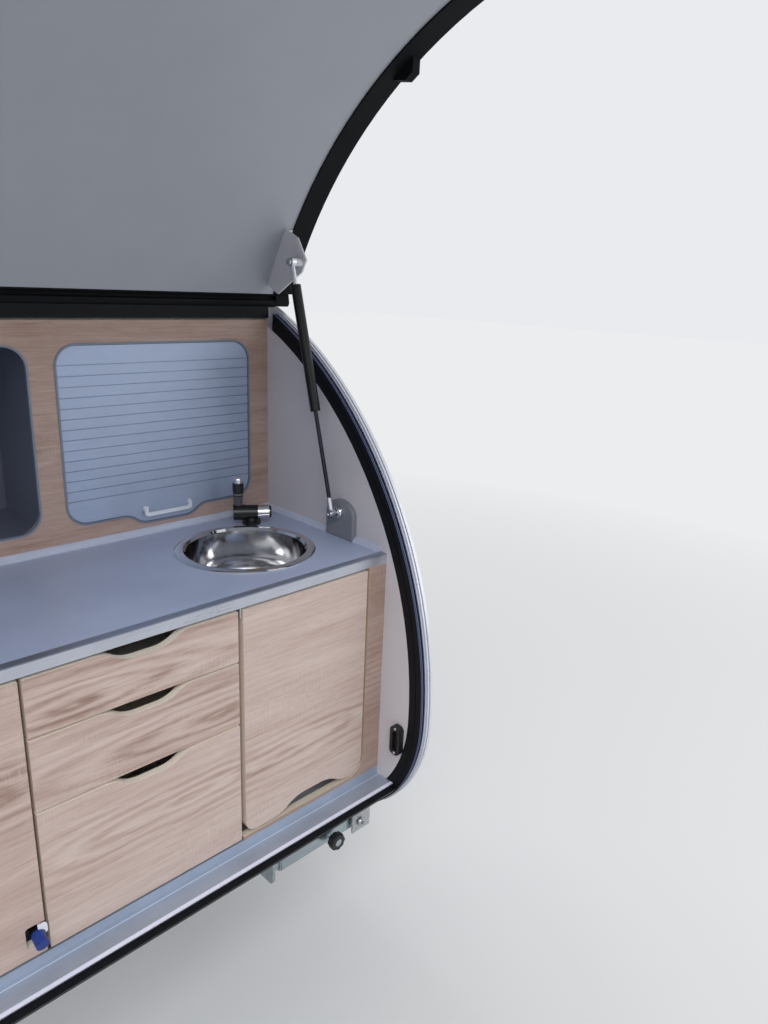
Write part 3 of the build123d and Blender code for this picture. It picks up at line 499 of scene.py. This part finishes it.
# Bolts of the latch keepers and the steady brackets, and bosses round the strut studs
keeper_x = 0.743
keeper_y = -0.7835
keeper_z = 0.144
keeper_pitch = 0.061
bracket_x = 0.724
bracket_front = -0.705
bracket_back = -0.639
steady_z = -0.111
boss_x = 0.741
boss_rings = [
    (0.0136, 0),
    (0.0136, 0.003),
    (0.0116, 0.0055),
    (0.0116, 0.0085),
    (0.0102, 0.0097),
    (0.0078, 0.0097),
    (0.0068, 0.0078),
    (0.0056, 0.0078),
]
screw_steel = metal("screw_steel", (186, 188, 193), 0.22, (200, 200, 200), 0.00001, 0.12)
screws = bmesh.new()
bosses = bmesh.new()
for side in (-1, 1):
    inward = (-side, 0, 0)
    for z in (keeper_z - keeper_pitch / 2, keeper_z + keeper_pitch / 2):
        socket_head(screws, (side * keeper_x, keeper_y, z), inward, radius=0.004, high=0.002)
    for y, way in ((bracket_front, -1), (bracket_back, 1)):
        socket_head(screws, (side * bracket_x, y, steady_z), (0, way, 0), radius=0.010, high=0.005)
    turn_up(bosses, (side * boss_x, stud_y, stud_z), inward, boss_rings, 48)
add(screws, "shell_screws", screw_steel, "shell")
add(bosses, "stud_bosses", chrome, "shell")

# Bolts of the struts and the flaps' ears, and the lobed knobs of the steadies
rod_bolt = (0.716, stud_y, stud_z)
eye_bolt = (0.714, eye_y, eye_z)
ear_screw = (0.3975, -0.668, 0.314)
bolt_high = 0.0032
knob_x = 0.638
knob_foot = -0.7056
knob_rings = [
    (0.0174, 0),
    (0.0190, 0.0015),
    (0.0196, 0.0150),
    (0.0178, 0.0184),
    (0.0090, 0.0190),
    (0.0078, 0.0172),
    (0.0004, 0.0172),
]
for side, hand in ((-1, "left"), (1, "right")):
    for name, (x, y, z), radius, body in (
        ("rod_bolt_", rod_bolt, 0.0078, "strut_rod_" + hand),
        ("eye_bolt_", eye_bolt, 0.0078, "hatch"),
        ("ear_screw_", ear_screw, 0.0072, "flap_" + hand),
    ):
        bolt = bmesh.new()
        socket_head(bolt, (side * x, y, z), (-side, 0, 0), radius, bolt_high)
        add(bolt, name + hand, screw_steel, body)
    knob = bmesh.new()
    turn_up(knob, (side * knob_x, knob_foot, steady_z), (0, -1, 0), knob_rings, 96, lobes=8, wave=0.05)
    knob_black = plastic("knob_black_" + hand, (20, 21, 23), 0.42, 500.0, 0.00006)
    add(knob, "steady_knob_" + hand, knob_black, "steady_" + hand)

# Ribbed canister caps
cap_places = ((0.550, -0.594), (0.688, -0.544))
cap_foot = 0.2396
cap_rings = [
    (0.0314, 0),
    (0.0325, 0.0010),
    (0.0325, 0.0215),
    (0.0306, 0.0262),
    (0.0180, 0.0270),
    (0.0160, 0.0258),
    (0.0005, 0.0258),
]
caps = bmesh.new()
for x, y in cap_places:
    turn_up(caps, (x, y, cap_foot), (0, 0, 1), cap_rings, 144, lobes=36, wave=0.012)
add(caps, "cap_ribs", plastic("ribbed_yellow", (236, 178, 24), 0.33), "shell")

# Strainer in the sink's outlet: a ring, a hub and eight bars over a black disc, painted shade in the outlet
sink_floor = 0.4312
bars = 8
bar_middle = 0.0125
bar_lift = 0.0012
bar_size = (0.0160, 0.0024, 0.0012)
well_sunk = 0.0004
strainer_ring = [(0.0260, 0), (0.0260, 0.0010), (0.0240, 0.0022), (0.0205, 0.0014), (0.0200, 0.0002)]
strainer_hub = [(0.0060, 0), (0.0060, 0.0022), (0.0030, 0.0030)]
well_rings = [(0.0202, 0), (0.0202, 0.0010), (0.0198, 0.0011)]
strainer = bmesh.new()
turn_up(strainer, (sink_x, sink_y, sink_floor), (0, 0, 1), strainer_ring, 64)
turn_up(strainer, (sink_x, sink_y, sink_floor), (0, 0, 1), strainer_hub, 32)
for step in range(bars):
    outlet = Matrix.Translation((sink_x, sink_y, sink_floor + bar_lift))
    spoke = outlet @ Matrix.Rotation(step * math.tau / bars, 4, "Z")
    stretch = Matrix.Translation((bar_middle, 0, 0)) @ Matrix.Diagonal((*bar_size, 1))
    bmesh.ops.create_cube(strainer, size=1.0, matrix=spoke @ stretch)
add(strainer, "sink_strainer", chrome, "shell")
# A black disc under the bars: painted shade in the outlet
well = bmesh.new()
turn_up(well, (sink_x, sink_y, sink_floor - well_sunk), (0, 0, 1), well_rings, 48)
add(well, "outlet_shade_disc", plastic("outlet_shade_black", (12, 12, 13), 0.6), "shell")

# White tag beside the fitting's round cap, curved about it, on a stem from the fitting
cap_x = -0.0165
cap_z = 0.0844
tag_curve = 0.0125
tag_front = -0.7240
tag_back = -0.7222
stem_back = -0.6975
tag_outline = []
for degrees in range(-4, 89, 8):
    angle = math.radians(degrees)
    tag_outline.append((cap_x + tag_curve * math.cos(angle), cap_z + tag_curve * math.sin(angle)))
tag_outline += [(-0.0158, 0.1040), (-0.0120, 0.1055), (-0.0052, 0.1055)]
tag_outline += [(-0.0012, 0.1020), (-0.0003, 0.0950), (-0.0006, 0.0870)]
stem_outline = [(-0.0138, 0.0985), (-0.0100, 0.0985), (-0.0100, 0.1010), (-0.0138, 0.1010)]
tag = bmesh.new()
for outline, near, far in ((tag_outline, tag_front, tag_back), (stem_outline, tag_back, stem_back)):
    slab(tag, [(x, near, z) for x, z in outline], [(x, far, z) for x, z in outline])
add(tag, "fitting_tag", plastic("tag_white", (226, 228, 238), 0.4), "shell")

# Rubber corners that take the hatch's rim down to its hinge, wedges that end round about the axis
hinge_y = -0.290
hinge_z = 1.07104
rim_foot = hinge_z + 0.0193
round_end = 0.0096
corner_in = 0.7773
corner_out = 0.8150
wedge = [(hinge_y + 0.0225, rim_foot), (hinge_y - 0.0065, rim_foot)]
for degrees in range(175, 344, 14):
    angle = math.radians(degrees)
    wedge.append((hinge_y + round_end * math.cos(angle), hinge_z + round_end * math.sin(angle)))
corners = bmesh.new()
for side in (-1, 1):
    inner, outer = ([(side * x, y, z) for y, z in wedge] for x in (corner_in, corner_out))
    slab(corners, inner, outer)
add(corners, "hatch_corners", rubber, "hatch")

# Lock barrels on the outside of the hatch
barrel_x = 0.700
barrel_sunk = 0.0008
barrel_lean = 0.0175
barrel_rings = [
    (0.0090, 0),
    (0.0090, 0.0022),
    (0.0076, 0.0034),
    (0.0036, 0.0034),
    (0.0034, 0.0014),
    (0.0003, 0.0014),
]
barrels = bmesh.new()
low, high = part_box("hatch_locks")
for side in (-1, 1):
    place = (side * barrel_x, (low.y + high.y) / 2, high.z - barrel_sunk)
    turn_up(barrels, place, (0, barrel_lean, 1), barrel_rings, 48)
add(barrels, "lock_barrels", chrome, "hatch")

# Floor, which turns into a plain pale backdrop where the camera sees it far off
ground_z = -0.43
ground_reach = 30
ground_fade = (1.6, 5.0)
ground = Look("pale_floor", 0.9)
ground.colour(linear((206, 207, 207)))
distance = ground.length(ground.texture.outputs["Object"])
glow = ground.node("ShaderNodeEmission", {"Color": linear((236, 237, 238)), "Strength": 1.0})
sight = ground.node("ShaderNodeLightPath")
seen_far = ground.math("MULTIPLY", ground.spread(distance, *ground_fade), sight.outputs["Is Camera Ray"])
blend = ground.node("ShaderNodeMixShader", {0: seen_far, 1: ground.shader.outputs[0], 2: glow.outputs[0]})
ground.put(ground.tree.nodes["Material Output"].inputs["Surface"], blend.outputs[0])
square = [(x * ground_reach, y * ground_reach, ground_z) for x, y in ((-1, -1), (1, -1), (1, 1), (-1, 1))]
floor_mesh = bpy.data.meshes.new("floor")
floor_mesh.from_pydata(square, [], [(0, 1, 2, 3)])
floor_mesh.materials.append(ground.mat)
floor = bpy.data.objects.new("floor", floor_mesh)
scene.collection.objects.link(floor)

# World: even where the camera or a reflection shows it, and brighter from above where it lights the object
world = bpy.data.worlds.new("studio")
scene.world = world
world.use_nodes = True
air = Graph(world.node_tree)
background = air.tree.nodes["Background"].inputs
paths = air.node("ShaderNodeLightPath").outputs
shown = air.math("MAXIMUM", paths["Is Camera Ray"], paths["Is Glossy Ray"])
daylight = air.spread(air.axis("Z", "Generated"), -0.1, 0.8, 0.24, 0.95)
air.put(background["Color"], (0.95, 0.965, 1.0, 1.0))
air.put(background["Strength"], air.spread(shown, 0.0, 1.0, daylight, 0.86))


def lamp(name, at, look_at, size, power):
    data = bpy.data.lights.new(name, "AREA")
    data.shape = "SQUARE"
    data.size = size
    data.energy = power
    made = bpy.data.objects.new(name, data)
    made.location = at
    made.rotation_euler = (Vector(look_at) - Vector(at)).to_track_quat("-Z", "Y").to_euler()
    scene.collection.objects.link(made)


# Three large soft lamps
lamp("key", (-1.6, -3.3, 3.6), (0.2, -0.6, 0.5), 2.4, 105)
lamp("fill", (2.6, -3.2, 1.2), (0.2, -0.6, 0.4), 2.4, 18)
lamp("back", (0.0, 3.2, 3.4), (0.0, 0.0, 0.9), 2.5, 80)

# Camera, fitted to the photograph's straight edges
camera_at = (-0.3120, -1.76866, 1.12038)
yaw = 0.7883
pitch = 0.2964
roll = 0.0431
forward = Vector((math.sin(yaw) * math.cos(pitch), math.cos(yaw) * math.cos(pitch), -math.sin(pitch)))
level = forward.cross(Vector((0, 0, 1))).normalized()
upright = level.cross(forward)
right = level * math.cos(roll) + upright * math.sin(roll)
above = upright * math.cos(roll) - level * math.sin(roll)
facing = Matrix((right, above, -forward)).transposed().to_4x4()
camera_data = bpy.data.cameras.new("camera")
camera_data.sensor_fit = "VERTICAL"
camera_data.sensor_height = 36.0
camera_data.lens = 26.08
camera_data.clip_start = 0.02
camera = bpy.data.objects.new("camera", camera_data)
camera.matrix_world = Matrix.Translation(camera_at) @ facing
scene.collection.objects.link(camera)
scene.camera = camera
